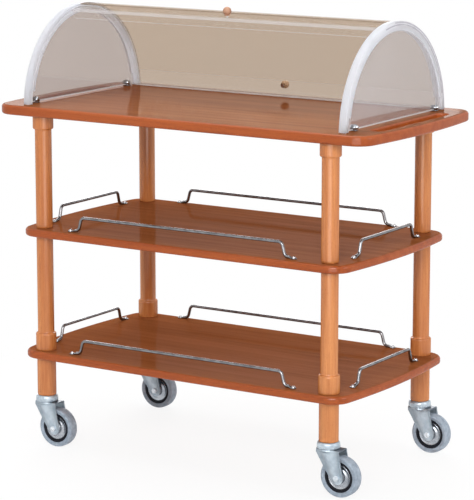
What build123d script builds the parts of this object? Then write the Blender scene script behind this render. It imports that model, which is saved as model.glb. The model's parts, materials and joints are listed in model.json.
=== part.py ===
from build123d import *
import os
from math import acos, asin, atan2, cos, degrees, hypot, sin

# All lengths are in millimetres, angles in degrees.
# X runs along the trolley, Y from front to rear, Z up from the floor.

# Shelves
SHELF_LENGTH = 974.0
SHELF_WIDTH = 540.0
SHELF_THICKNESS = 20.0
TOP_THICKNESS = 25.0
TOP_END_OVERHANG = 65.0
TOP_SIDE_OVERHANG = 5.0
END_BOW = 20.0
CORNER_RADIUS = 50.0
UPPER_EDGE_ROUND = 8.0
LOWER_EDGE_ROUND = 6.0
ROUND_SHARE_OF_WALL = 0.45

# Handle slots cut through both overhangs of the top shelf
HANDLE_SLOT_FROM_SIDE = 100.0
HANDLE_SLOT_WIDTH = 32.0
HANDLE_BAR_WIDTH = 33.0
HANDLE_EDGE_ROUND = 5.0

# Turned posts and legs
POST_FROM_END = 69.0
POST_FROM_SIDE = 40.0
POST_DIAMETER = 42.0
COLLAR_STEP = 5.0
TOP_COLLAR_HEIGHT = 35.0
FOOT_COLLAR_HEIGHT = 45.0
COLLAR_ROUND = 4.0
LEG_DIAMETER = 48.0
LEG_END_CHAMFER = 2.0
LEG_LENGTH = 99.0
LOWER_POST_LENGTH = 296.0
UPPER_POST_LENGTH = 287.0

# Threaded studs that join posts, shelves and legs
STUD_DIAMETER = 10.0
STUD_REACH = 30.0
STUD_IN_TOP = 15.0
STUD_CLEARANCE = 0.2
STUD_END_GAP = 1.0

# Casters
WHEEL_DIAMETER = 100.0
WHEEL_WIDTH = 30.0
TYRE_DEPTH = 12.0
TYRE_FLANK_DROP = 4.0
TYRE_SHOULDER_IN = 2.5
TYRE_SHOULDER_DROP = 1.2
TYRE_CROWN_IN = 6.0
TYRE_SIDE_TAPER = 2.0
CORE_RIM_DEPTH = 7.0
CORE_WEB = 16.0
CORE_HUB_DIAMETER = 28.0
HUB_CAP_SHEET = 1.6
HUB_CAP_RISE = 3.0
HUB_CAP_FLAT = 7.0
HUB_CAP_CLEARANCE = 0.4
AXLE_DIAMETER = 8.0
AXLE_HEAD = 13.0
AXLE_HEAD_HEIGHT = 5.0
TRAIL = 35.0
FORK_SHEET = 3.0
FORK_BOSS = 32.0
FORK_REAR = 27.0
FORK_AHEAD_OF_AXLE = 4.0
FORK_BEND = 4.0
FORK_BAND = 8.0
FORK_PANEL_RAISE = 1.6
FORK_PANEL_REAR = 8.0
FORK_PANEL_MARGIN = 4.0
TYRE_SIDE_CLEARANCE = 3.0
TYRE_TOP_CLEARANCE = 13.0
HUB_END_CLEARANCE = 0.3
RUNNING_CLEARANCE = 0.05
HEAD_LEDGE = 1.0
HEAD_FLARE = 3.5
HEAD_HEIGHT = 15.6
HEAD_RIM_CHAMFER = 2.5
RACE_GAP = 0.4
STEM_DIAMETER = 11.0
STEM_LENGTH = 40.0
PIN_HEAD_DIAMETER = 20.0
PIN_HEAD_HEIGHT = 4.0
PIN_HEAD_GAP = 0.3

# Wire gallery rails on the two lower shelves
RAIL_WIRE = 8.0
RAIL_HEIGHT = 42.0
RAIL_BEND = 12.0
RAIL_LEAN = 9.0
RAIL_FOOT = 25.0
RAIL_EYE = 14.0
RAIL_EYE_THICKNESS = 3.0
LONG_RAIL_TO_POST = 125.0
FRONT_RAIL_FROM_SIDE = 27.0
REAR_RAIL_FROM_SIDE = 19.0
SHORT_RAIL_TO_POST = 105.0
SHORT_RAIL_FROM_END = 45.0
SCREW_DIAMETER = 4.0
SCREW_DEPTH = 14.0
SCREW_HEAD = 9.0
SCREW_HEAD_HEIGHT = 4.0
SCREW_HEAD_CHAMFER = 1.8
SCREW_CLEARANCE = 0.2

# Roll-top dome: two bent covers running in grooved arches
DOME_AXIS_DROP = 8.0
ARCH_FROM_SIDE = 28.6
ARCH_FROM_SLOT = 21.0
ARCH_WIDTH = 18.0
ARCH_OUTER_WALL = 1.2
ARCH_INNER_WALL = 11.0
ARCH_EDGE_CHAMFER = 1.5
ARCH_FOOT = 14.0
ARCH_FOOT_CUT = 33.0
COVER_THICKNESS = 3.5
COVER_GAP = 2.4
GROOVE_DEPTH = 8.0
GROOVE_CLEARANCE = 0.4
GROOVE_END_GAP = 1.0
COVER_LIP = 20.0
LIP_END_GAP = 3.0
COVER_SEAT_GAP = 0.6
REAR_COVER_TOP = 87.0
FRONT_COVER_TAIL = 12.0
FRONT_KNOB_FROM_EDGE = 34.0
REAR_KNOB_FROM_EDGE = 26.0
KNOB_STOP_GAP = 3.7
KNOB_DIAMETER = 21.0
KNOB_FLANGE = 15.0
KNOB_FLANGE_HEIGHT = 2.0
KNOB_NECK = 10.0
KNOB_STAND = 10.6
KNOB_BORE_DEPTH = 14.0
KNOB_SCREW_HEAD = 9.0
KNOB_SCREW_SEAT = 0.1
KNOB_SCREW_TO_COVER = 0.7

# End panels of the dome and their clamps
PANEL_THICKNESS = 4.0
PANEL_SETBACK = 2.5
PANEL_IN_ARCH = 5.5
PANEL_CLEARANCE = 0.1
PANEL_LIFT = 3.0
CLAMP_FROM_ARCH = 24.0
CLAMP_DIAMETER = 16.0
CLAMP_LENGTH = 18.0
CLAMP_FOOT = 12.0
CLAMP_SCREW_HEIGHT = 9.0
ARCH_SCREW_HEAD = 8.0
ARCH_SCREW_HEAD_HEIGHT = 2.5
ARCH_SCREW_IN_ARCH = 20.0

# Heights above the floor
wheel_radius = WHEEL_DIAMETER / 2
crown_low = WHEEL_DIAMETER + TYRE_TOP_CLEARANCE
crown_high = crown_low + FORK_SHEET
head_low = crown_high + RACE_GAP
leg_low = head_low + HEAD_HEIGHT
bottom_low = leg_low + LEG_LENGTH
bottom_high = bottom_low + SHELF_THICKNESS
middle_low = bottom_high + LOWER_POST_LENGTH
middle_high = middle_low + SHELF_THICKNESS
top_low = middle_high + UPPER_POST_LENGTH
top_high = top_low + TOP_THICKNESS

# Sizes and places that several pieces share
top_length = SHELF_LENGTH + 2 * TOP_END_OVERHANG
top_width = SHELF_WIDTH + 2 * TOP_SIDE_OVERHANG
post_x = SHELF_LENGTH / 2 - POST_FROM_END
post_y = SHELF_WIDTH / 2 - POST_FROM_SIDE
collar_radius = POST_DIAMETER / 2 + COLLAR_STEP
stud_hole = STUD_DIAMETER / 2 + STUD_CLEARANCE
stem_hole = STEM_DIAMETER / 2 + STUD_CLEARANCE
screw_hole = SCREW_DIAMETER / 2 + SCREW_CLEARANCE
fork_gap = WHEEL_WIDTH + 2 * TYRE_SIDE_CLEARANCE
fork_width = fork_gap + 2 * FORK_SHEET
fork_front = TRAIL + FORK_AHEAD_OF_AXLE
tyre_bore = wheel_radius - TYRE_DEPTH
head_top_radius = LEG_DIAMETER / 2 + HEAD_LEDGE
head_radius = head_top_radius + HEAD_FLARE
handle_x = top_length / 2 - HANDLE_BAR_WIDTH - HANDLE_SLOT_WIDTH / 2
arch_outer_x = handle_x - HANDLE_SLOT_WIDTH / 2 - ARCH_FROM_SLOT
arch_inner_x = arch_outer_x - ARCH_WIDTH
arch_foot_y = top_width / 2 - ARCH_FROM_SIDE
arch_radius = hypot(arch_foot_y, DOME_AXIS_DROP)
rear_cover_radius = arch_radius - ARCH_OUTER_WALL
front_cover_radius = rear_cover_radius - COVER_THICKNESS - COVER_GAP
arch_bore = front_cover_radius - COVER_THICKNESS - GROOVE_CLEARANCE - ARCH_INNER_WALL
knob_stop = FRONT_KNOB_FROM_EDGE + KNOB_FLANGE / 2 + KNOB_STOP_GAP
open_angle = REAR_COVER_TOP - degrees(knob_stop / front_cover_radius)
lip_end_radius = front_cover_radius - COVER_THICKNESS - COVER_LIP
seat_angle = degrees(asin((DOME_AXIS_DROP + COVER_SEAT_GAP) / lip_end_radius))
panel_outer_x = arch_outer_x - PANEL_SETBACK
panel_inner_x = panel_outer_x - PANEL_THICKNESS
clamp_inner_x = (panel_inner_x + panel_outer_x - CLAMP_LENGTH) / 2
arch_screw_x = arch_outer_x - (ARCH_WIDTH - GROOVE_DEPTH) / 2
arch_screw_y = arch_foot_y - ARCH_FOOT / 2
clamp_y = arch_bore - CLAMP_FROM_ARCH

CORNERS = {
    "front_left": (-1, -1),
    "front_right": (1, -1),
    "rear_left": (-1, 1),
    "rear_right": (1, 1),
}
SIDES = {"left": -1, "right": 1}
UPRIGHT = (Align.CENTER, Align.CENTER, Align.MIN)


def cylinder(radius, low, high):
    """A round bar on the Z axis between two heights."""
    return Pos(0, 0, low) * Cylinder(radius, high - low, align=UPRIGHT)


def lathe(points):
    """Turn a closed profile of (radius, height) points about Z."""
    return revolve(Plane.XZ * make_face(Polyline(*points, close=True)), Axis.Z)


def both_sides(half):
    """A closed profile from its upper half, (radius, height) points, and the mirror image below."""
    return half + [(radius, -height) for radius, height in reversed(half)]


def across_trolley(sketch, start, length):
    """Extrude a sketch drawn in the Y-Z plane along X, from a start position."""
    return extrude(Plane.YZ.offset(start) * sketch, length)


def at_corner(corner, shape):
    """Move a shape from the origin to one corner's post axis."""
    side, end = CORNERS[corner]
    return Pos(side * post_x, end * post_y, 0) * shape


def mirrored_to(side, shape):
    """A shape made for the right-hand end, mirrored for the left one."""
    return shape if side > 0 else mirror(shape, about=Plane.YZ)


def edge_round(radius, wall):
    """An edge's rounding, kept under half of the wall so that both edges have room."""
    return min(radius, ROUND_SHARE_OF_WALL * wall)


def shelf_board(length, width, thickness, low):
    """A board with bowed ends, rounded corners and rounded edges."""
    bow_radius = ((width / 2) ** 2 + END_BOW**2) / (2 * END_BOW)
    centre = length / 2 - bow_radius
    outline = Rectangle(length + END_BOW, width)
    outline &= Pos(centre, 0) * Circle(bow_radius)
    outline &= Pos(-centre, 0) * Circle(bow_radius)
    outline = fillet(outline.vertices(), CORNER_RADIUS)
    board = extrude(outline, thickness)
    upper = board.faces().sort_by(Axis.Z)[-1].edges()
    board = fillet(upper, edge_round(UPPER_EDGE_ROUND, thickness))
    lower = board.faces().sort_by(Axis.Z)[0].edges()
    board = fillet(lower, edge_round(LOWER_EDGE_ROUND, thickness))
    return Pos(0, 0, low) * board


def rail_layout():
    """Name, half span, turn about Z and distance from the middle of the four rails on one shelf."""
    front_y, rear_y = SHELF_WIDTH / 2 - FRONT_RAIL_FROM_SIDE, SHELF_WIDTH / 2 - REAR_RAIL_FROM_SIDE
    short_x = SHELF_LENGTH / 2 - SHORT_RAIL_FROM_END
    long_half, short_half = post_x - LONG_RAIL_TO_POST, post_y - SHORT_RAIL_TO_POST
    return [
        ("front", long_half, 0, front_y),
        ("right", short_half, 90, short_x),
        ("rear", long_half, 180, rear_y),
        ("left", short_half, 270, short_x),
    ]


def eye_reach(half_span):
    """Distance from a rail's middle to the screw in its foot."""
    return half_span + RAIL_LEAN + RAIL_FOOT


def rail_screw_places():
    """Plan position of every rail screw on one shelf."""
    places = []
    for _, half_span, turn, distance in rail_layout():
        for side in SIDES.values():
            spot = Rot(0, 0, turn) * Pos(side * eye_reach(half_span), -distance, 0)
            places.append((spot.position.X, spot.position.Y))
    return places


def lower_shelf(low):
    """A lower shelf, drilled for the post studs and the rail screws."""
    board = shelf_board(SHELF_LENGTH, SHELF_WIDTH, SHELF_THICKNESS, low)
    high = low + SHELF_THICKNESS
    for corner in CORNERS:
        board -= at_corner(corner, cylinder(stud_hole, low, high))
    for x, y in rail_screw_places():
        board -= Pos(x, y, 0) * cylinder(screw_hole, high - SCREW_DEPTH - STUD_END_GAP, high)
    return board


def top_shelf():
    """The long top shelf with its two handle slots, blind stud holes and arch screw holes."""
    board = shelf_board(top_length, top_width, TOP_THICKNESS, top_low)
    slot_length = top_width - 2 * HANDLE_SLOT_FROM_SIDE
    slot = extrude(SlotOverall(slot_length, HANDLE_SLOT_WIDTH, rotation=90), TOP_THICKNESS)
    for side in SIDES.values():
        board -= Pos(side * handle_x, 0, top_low) * slot
    upper = board.faces().sort_by(Axis.Z)[-1].inner_wires().edges()
    board = fillet(upper, edge_round(HANDLE_EDGE_ROUND, TOP_THICKNESS))
    lower = board.faces().sort_by(Axis.Z)[0].inner_wires().edges()
    board = fillet(lower, edge_round(HANDLE_EDGE_ROUND, TOP_THICKNESS))
    for corner in CORNERS:
        board -= at_corner(corner, cylinder(stud_hole, top_low, top_low + STUD_IN_TOP + STUD_END_GAP))
    head_hole = cylinder(ARCH_SCREW_HEAD / 2 + SCREW_CLEARANCE, top_low, top_low + ARCH_SCREW_HEAD_HEIGHT)
    screw_bore = cylinder(screw_hole, top_low, top_high)
    for x, y in arch_screw_places():
        board -= Pos(x, y, 0) * (head_hole + screw_bore)
    return board


def arch_screw_places():
    """Plan position of the screw under each foot of the arches."""
    return [(side * arch_screw_x, end * arch_screw_y) for side, end in CORNERS.values()]


def turned_post(length, collar_height, collar_on_top):
    """A turned post with one collar, its shoulder rounded, bored at both ends for the studs."""
    post = cylinder(POST_DIAMETER / 2, 0, length)
    low = length - collar_height if collar_on_top else 0
    collar = cylinder(collar_radius, low, low + collar_height)
    edges = collar.edges().filter_by(GeomType.CIRCLE).sort_by(Axis.Z)
    shoulder = edges[0] if collar_on_top else edges[-1]
    post += fillet(shoulder, min(COLLAR_ROUND, COLLAR_STEP))
    depth = STUD_REACH + STUD_END_GAP
    return post - cylinder(stud_hole, 0, depth) - cylinder(stud_hole, length - depth, length)


def leg():
    """A plain leg, bored above for its stud and below for the caster's stem."""
    bar = cylinder(LEG_DIAMETER / 2, leg_low, bottom_low)
    bar = chamfer(bar.edges().sort_by(Axis.Z)[0], LEG_END_CHAMFER)
    bar -= cylinder(stem_hole, leg_low, leg_low + STEM_LENGTH + STUD_END_GAP)
    return bar - cylinder(stud_hole, bottom_low - STUD_REACH - STUD_END_GAP, bottom_low)


def post_studs():
    """The studs of all three shelves at one corner."""
    spans = [
        (bottom_low - STUD_REACH, bottom_high + STUD_REACH),
        (middle_low - STUD_REACH, middle_high + STUD_REACH),
        (top_low - STUD_REACH, top_low + STUD_IN_TOP),
    ]
    return [cylinder(STUD_DIAMETER / 2, low, high) for low, high in spans]


def gallery_rail(half_span):
    """A bent wire rail on Z = 0, along X, with a flat eye for a screw at each foot."""
    wire_radius = RAIL_WIRE / 2
    inner = half_span
    outer = half_span + RAIL_LEAN
    end = eye_reach(half_span)
    line = FilletPolyline(
        (-end, 0, wire_radius),
        (-outer, 0, wire_radius),
        (-inner, 0, RAIL_HEIGHT - wire_radius),
        (inner, 0, RAIL_HEIGHT - wire_radius),
        (outer, 0, wire_radius),
        (end, 0, wire_radius),
        radius=RAIL_BEND,
    )
    rail = sweep(Plane(line @ 0, z_dir=line % 0) * Circle(wire_radius), line)
    for side in SIDES.values():
        eye = Pos(side * end, 0, 0)
        rail -= eye * cylinder(RAIL_EYE / 2, 0, RAIL_WIRE)
        rail += eye * cylinder(RAIL_EYE / 2, 0, RAIL_EYE_THICKNESS)
        rail -= eye * cylinder(screw_hole, 0, RAIL_EYE_THICKNESS)
    return rail


def round_head_screw(seat, depth):
    """A round-headed screw on the Z axis, its head standing on the seat height."""
    head = cylinder(SCREW_HEAD / 2, seat, seat + SCREW_HEAD_HEIGHT)
    head = chamfer(head.edges().sort_by(Axis.Z)[-1], SCREW_HEAD_CHAMFER)
    return head + cylinder(SCREW_DIAMETER / 2, seat - depth, seat)


def on_table(width, height):
    """A rectangle that stands on the table, drawn across the trolley with the dome's axis at the origin."""
    return Pos(0, DOME_AXIS_DROP) * Rectangle(width, height, align=(Align.CENTER, Align.MIN))


def dome_disc(radius):
    """The part of a disc about the dome's axis that stands above the table."""
    return Circle(radius) & on_table(2 * radius, radius)


def dome_ring(inner, outer):
    """The part of a flat ring about the same axis that stands above the table."""
    return dome_disc(outer) - Circle(inner)


def dome(shape):
    """Lift a piece made about the dome's axis to that axis, a little below the top of the table."""
    return Pos(0, 0, top_high - DOME_AXIS_DROP) * shape


def track_arch():
    """The right-hand arch: a grooved half ring that is thinner at its feet."""
    arch = across_trolley(dome_ring(arch_bore, arch_radius), arch_inner_x, ARCH_WIDTH)
    rims = arch.edges().filter_by(GeomType.CIRCLE).group_by(SortBy.RADIUS)[-1]
    arch = chamfer(rims.sort_by(Axis.X)[-1], ARCH_EDGE_CHAMFER)
    for outer in (rear_cover_radius, front_cover_radius):
        groove = dome_ring(outer - COVER_THICKNESS - GROOVE_CLEARANCE, outer + GROOVE_CLEARANCE)
        arch -= across_trolley(groove, arch_inner_x, GROOVE_DEPTH)
    slot = dome_disc(arch_bore + PANEL_IN_ARCH + 2 * PANEL_CLEARANCE)
    slot_start = panel_inner_x - PANEL_CLEARANCE
    arch -= across_trolley(slot, slot_start, PANEL_THICKNESS + 2 * PANEL_CLEARANCE)
    foot_cut = dome_disc(arch_radius - ARCH_FOOT) & on_table(2 * arch_radius, ARCH_FOOT_CUT)
    arch -= across_trolley(foot_cut, arch_inner_x, ARCH_WIDTH)
    bore = cylinder(screw_hole, 0, ARCH_SCREW_IN_ARCH + STUD_END_GAP)
    for end in SIDES.values():
        arch -= Pos(arch_screw_x, end * arch_screw_y, DOME_AXIS_DROP) * bore
    return arch


def arch_screw():
    """A countersunk screw from under the top shelf into an arch's foot."""
    head = cylinder(ARCH_SCREW_HEAD / 2, top_low, top_low + ARCH_SCREW_HEAD_HEIGHT)
    return head + cylinder(SCREW_DIAMETER / 2, top_low, top_high + ARCH_SCREW_IN_ARCH)


def end_panel():
    """The right-hand end panel: a flat half-round sheet with holes for the clamp screws."""
    sheet = dome_disc(arch_bore + PANEL_IN_ARCH) - on_table(2 * arch_radius, PANEL_LIFT)
    for end in SIDES.values():
        sheet -= Pos(end * clamp_y, DOME_AXIS_DROP + CLAMP_SCREW_HEIGHT) * Circle(screw_hole)
    return across_trolley(sheet, panel_inner_x, PANEL_THICKNESS)


def panel_clamp():
    """A slotted round clamp that holds the right-hand panel on the table, at Y = 0."""
    section = Pos(0, CLAMP_DIAMETER / 2) * Circle(CLAMP_DIAMETER / 2)
    section += Rectangle(CLAMP_FOOT, CLAMP_DIAMETER / 2, align=(Align.CENTER, Align.MIN))
    clamp = across_trolley(section, clamp_inner_x, CLAMP_LENGTH)
    slot = Pos(0, PANEL_LIFT - PANEL_CLEARANCE) * Rectangle(
        CLAMP_DIAMETER, CLAMP_DIAMETER, align=(Align.CENTER, Align.MIN)
    )
    clamp -= across_trolley(slot, panel_inner_x - PANEL_CLEARANCE, PANEL_THICKNESS + 2 * PANEL_CLEARANCE)
    bore = Pos(0, CLAMP_SCREW_HEIGHT) * Circle(screw_hole)
    return clamp - across_trolley(bore, clamp_inner_x, CLAMP_LENGTH)


def clamp_screw():
    """The screw through a clamp and its panel, head on the outside, at Y = 0."""
    screw = round_head_screw(0, CLAMP_LENGTH)
    return Pos(clamp_inner_x + CLAMP_LENGTH, 0, CLAMP_SCREW_HEIGHT) * Rot(0, 90, 0) * screw


def front_angle(angle):
    """Dome angles count from the front of the table; sketches across the trolley count from the rear."""
    return 180 - angle


def cover(outer, edge_angle, far_angle):
    """A bent sheet between two dome angles, with an in-turned lip along its lower edge."""
    inner = outer - COVER_THICKNESS
    start, turn = front_angle(edge_angle), edge_angle - far_angle
    outside = CenterArc((0, 0), outer, start, turn)
    inside = CenterArc((0, 0), inner, start, turn)
    sheet = make_face([outside, inside, Line(outside @ 0, inside @ 0), Line(outside @ 1, inside @ 1)])
    reach = arch_inner_x + GROOVE_DEPTH - GROOVE_END_GAP
    bent = across_trolley(sheet, -reach, 2 * reach)
    lip_side = Align.MAX if far_angle > edge_angle else Align.MIN
    lip = Pos(inner - COVER_LIP, 0) * Rectangle(
        COVER_LIP + COVER_THICKNESS / 2, COVER_THICKNESS, align=(Align.MIN, lip_side)
    )
    lip_reach = arch_inner_x - LIP_END_GAP
    return bent + across_trolley(Rot(0, 0, start) * lip, -lip_reach, 2 * lip_reach)


def on_dome(angle, radius, shape):
    """Stand a shape, made on the Z axis, on the dome at an angle and radius."""
    return Rot(front_angle(angle) - 90, 0, 0) * Pos(0, 0, radius) * shape


def knob():
    """A turned ball knob on a flange, bored for its screw."""
    ball = Pos(0, 0, KNOB_STAND) * Sphere(KNOB_DIAMETER / 2)
    neck = cylinder(KNOB_NECK / 2, 0, KNOB_STAND)
    flange = cylinder(KNOB_FLANGE / 2, 0, KNOB_FLANGE_HEIGHT)
    return ball + neck + flange - cylinder(screw_hole, 0, KNOB_BORE_DEPTH + STUD_END_GAP)


def knob_screw():
    """A flat-headed screw through the cover into the knob, which starts at Z = 0."""
    head_top = -COVER_THICKNESS - KNOB_SCREW_SEAT
    head = cylinder(KNOB_SCREW_HEAD / 2, KNOB_SCREW_TO_COVER - COVER_THICKNESS - COVER_GAP, head_top)
    return head + cylinder(SCREW_DIAMETER / 2, head_top, KNOB_BORE_DEPTH)


def fitted_cover(outer, edge_angle, far_angle, knob_from_edge):
    """A cover with its screw hole, its knob and the knob's screw, all lifted on to the table."""
    direction = 1 if far_angle > edge_angle else -1
    angle = edge_angle + direction * degrees(knob_from_edge / outer)
    hole = on_dome(angle, outer, cylinder(screw_hole, -2 * COVER_THICKNESS, COVER_THICKNESS))
    sheet = cover(outer, edge_angle, far_angle) - hole
    return dome(sheet), dome(on_dome(angle, outer, knob())), dome(on_dome(angle, outer, knob_screw()))


def caster_head():
    """The fixed upper race that the leg stands on, with the stem's hole."""
    low, high = head_low, leg_low
    top, wide = head_top_radius, head_radius
    bend = high - HEAD_FLARE
    rim = [(wide - HEAD_RIM_CHAMFER, low), (wide, low + HEAD_RIM_CHAMFER), (wide, bend), (top, high)]
    return lathe([(stem_hole, low), *rim, (stem_hole, high)])


def caster_stem():
    """Stem and king pin in one: screwed into the leg above, riveted under the fork below."""
    head_high = crown_low - PIN_HEAD_GAP
    stem = cylinder(STEM_DIAMETER / 2, head_high, leg_low + STEM_LENGTH)
    return stem + cylinder(PIN_HEAD_DIAMETER / 2, head_high - PIN_HEAD_HEIGHT, head_high)


def boss_tangent(x, height, radius, side):
    """Where a straight edge from a point on a cheek's band touches the round boss on the axle."""
    across, up = x - TRAIL, height - wheel_radius
    angle = atan2(up, across) + side * acos(radius / hypot(across, up))
    return TRAIL + radius * cos(angle), wheel_radius + radius * sin(angle)


def fork_outline(rear, front, boss):
    """Side view of a fork cheek: from the crown's width down to a round boss on the axle."""
    low = crown_high - FORK_BAND
    corners = [(-rear, crown_high), (-rear, low), (front, low), (front, crown_high)]
    tangents = [boss_tangent(-rear, low, boss / 2, 1), boss_tangent(front, low, boss / 2, -1)]
    sides = make_face(Polyline(*corners[:2], *tangents, *corners[2:], close=True))
    return sides + Pos(TRAIL, wheel_radius) * Circle(boss / 2)


def caster_fork():
    """A pressed fork: crown on the king pin, two tapering cheeks, each with a raised panel."""
    crown = Pos((fork_front - FORK_REAR) / 2, 0) * Rectangle(fork_front + FORK_REAR, fork_width)
    fork = Pos(0, 0, crown_low) * extrude(crown, FORK_SHEET)
    cheek = fork_outline(FORK_REAR, fork_front, FORK_BOSS)
    for side in SIDES.values():
        start = side * fork_gap / 2
        fork += extrude(Plane.XZ.offset(-start) * cheek, -side * FORK_SHEET)
    bends = fork.edges().filter_by(Axis.X).group_by(Axis.Z)[-1]
    fork = fillet(bends, FORK_BEND) + cylinder(head_radius, crown_low, crown_high)
    boss = FORK_BOSS - 2 * FORK_PANEL_MARGIN
    raised = fork_outline(FORK_PANEL_REAR, fork_front - FORK_PANEL_MARGIN, boss)
    raised -= Pos(0, crown_high) * Rectangle(2 * (fork_front + FORK_REAR), 2 * (FORK_SHEET + FORK_BEND))
    for side in SIDES.values():
        start = side * fork_width / 2
        fork += extrude(Plane.XZ.offset(-start) * raised, -side * FORK_PANEL_RAISE)
    fork -= cylinder(STEM_DIAMETER / 2 + RUNNING_CLEARANCE, crown_low, crown_high)
    axle_hole = cylinder(AXLE_DIAMETER / 2 + RUNNING_CLEARANCE, -fork_width, fork_width)
    return fork - on_axle(axle_hole)


def on_axle(shape):
    """Turn a shape made on the Z axis on to the wheel's axle, along Y."""
    return Pos(TRAIL, 0, wheel_radius) * Rot(90, 0, 0) * shape


def axle():
    """The axle bolt with a hexagon head and nut outside the fork's cheeks."""
    seat = fork_width / 2 + FORK_PANEL_RAISE
    bolt = cylinder(AXLE_DIAMETER / 2, -seat, seat)
    hexagon = RegularPolygon(AXLE_HEAD / 2, 6, major_radius=False)
    for low in (-seat - AXLE_HEAD_HEIGHT, seat):
        bolt += Pos(0, 0, low) * extrude(hexagon, AXLE_HEAD_HEIGHT)
    return on_axle(bolt)


def wheel_core():
    """The moulded wheel centre: hub, web and rim."""
    bore = AXLE_DIAMETER / 2 + RUNNING_CLEARANCE
    hub, rim = CORE_HUB_DIAMETER / 2, tyre_bore - CORE_RIM_DEPTH
    ends = fork_gap / 2 - HUB_END_CLEARANCE
    web, seat = CORE_WEB / 2, WHEEL_WIDTH / 2 - TYRE_SIDE_TAPER
    half = [(bore, ends), (hub, ends), (hub, web), (rim, web), (rim, seat), (tyre_bore, seat)]
    return on_axle(lathe(both_sides(half)))


def tyre():
    """The rubber tyre with rounded shoulders."""
    seat, side = WHEEL_WIDTH / 2 - TYRE_SIDE_TAPER, WHEEL_WIDTH / 2
    flank = (wheel_radius - TYRE_FLANK_DROP, side)
    shoulder = (wheel_radius - TYRE_SHOULDER_DROP, side - TYRE_SHOULDER_IN)
    crown = (wheel_radius, side - TYRE_CROWN_IN)
    return on_axle(lathe(both_sides([(tyre_bore, seat), flank, shoulder, crown])))


def hub_cap():
    """A dished metal cap on the web, on the side that faces away from the origin in Z."""
    inner = CORE_HUB_DIAMETER / 2 + HUB_CAP_CLEARANCE
    outer = tyre_bore - CORE_RIM_DEPTH - HUB_CAP_CLEARANCE
    low, high = CORE_WEB / 2, CORE_WEB / 2 + HUB_CAP_RISE
    knee = outer - HUB_CAP_FLAT
    profile = [
        (inner, high),
        (knee, low),
        (outer, low),
        (outer, low + HUB_CAP_SHEET),
        (knee, low + HUB_CAP_SHEET),
        (inner, high + HUB_CAP_SHEET),
    ]
    return lathe(profile)


def hub_caps():
    """The caps on both sides of a wheel."""
    cap = hub_cap()
    return [on_axle(cap), on_axle(mirror(cap, about=Plane.XY))]


def save(name, *shapes):
    """Write one node, made of one or more separate solids."""
    solids = [solid for shape in shapes for solid in shape.solids()]
    node = solids[0] if len(solids) == 1 else Compound(solids)
    export_step(node, f"parts/{name}.step")


def at_all_corners(*shapes):
    """Copies of shapes at every post axis."""
    return [at_corner(corner, shape) for corner in CORNERS for shape in shapes]


def main():
    os.makedirs("parts", exist_ok=True)

    save("top_shelf", top_shelf())
    save("middle_shelf", lower_shelf(middle_low))
    save("bottom_shelf", lower_shelf(bottom_low))

    upper_post = Pos(0, 0, middle_high) * turned_post(UPPER_POST_LENGTH, TOP_COLLAR_HEIGHT, True)
    lower_post = Pos(0, 0, bottom_high) * turned_post(LOWER_POST_LENGTH, FOOT_COLLAR_HEIGHT, False)
    fixed_leg = leg()
    for corner in CORNERS:
        save(f"upper_post_{corner}", at_corner(corner, upper_post))
        save(f"lower_post_{corner}", at_corner(corner, lower_post))
        save(f"leg_{corner}", at_corner(corner, fixed_leg))
    save("post_studs", *at_all_corners(*post_studs()))

    rail_screws = []
    for level, height in {"middle": middle_high, "bottom": bottom_high}.items():
        for place, half_span, turn, distance in rail_layout():
            rail = Rot(0, 0, turn) * Pos(0, -distance, height) * gallery_rail(half_span)
            save(f"{level}_rail_{place}", rail)
        screw = round_head_screw(height + RAIL_EYE_THICKNESS, RAIL_EYE_THICKNESS + SCREW_DEPTH)
        rail_screws += [Pos(x, y, 0) * screw for x, y in rail_screw_places()]
    save("rail_screws", *rail_screws)

    arch, panel = dome(track_arch()), dome(end_panel())
    for name, side in SIDES.items():
        save(f"{name}_track_arch", mirrored_to(side, arch))
        save(f"{name}_end_panel", mirrored_to(side, panel))
    save("arch_screws", *[Pos(x, y, 0) * arch_screw() for x, y in arch_screw_places()])
    clamps, clamp_screws = [], []
    for side, end in CORNERS.values():
        place = Pos(0, end * clamp_y, top_high)
        clamps.append(mirrored_to(side, place * panel_clamp()))
        clamp_screws.append(mirrored_to(side, place * clamp_screw()))
    save("panel_clamps", *clamps)
    save("clamp_screws", *clamp_screws)

    covers = {
        "front": fitted_cover(front_cover_radius, open_angle, 180 - FRONT_COVER_TAIL, FRONT_KNOB_FROM_EDGE),
        "rear": fitted_cover(rear_cover_radius, 180 - seat_angle, REAR_COVER_TOP, REAR_KNOB_FROM_EDGE),
    }
    for place, (sheet, handle, screw) in covers.items():
        save(f"{place}_cover", sheet)
        save(f"{place}_knob", handle)
        save(f"{place}_knob_screw", screw)

    save("caster_heads", *at_all_corners(caster_head()))
    save("caster_stems", *at_all_corners(caster_stem()))
    caster = {
        "fork": [caster_fork()],
        "axle": [axle()],
        "wheel_core": [wheel_core()],
        "hub_caps": hub_caps(),
        "tyre": [tyre()],
    }
    for corner in CORNERS:
        for name, pieces in caster.items():
            save(f"{name}_{corner}", *[at_corner(corner, piece) for piece in pieces])


main()
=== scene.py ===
import json
import math

import bmesh
import bpy
from mathutils import Matrix, Vector


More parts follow.
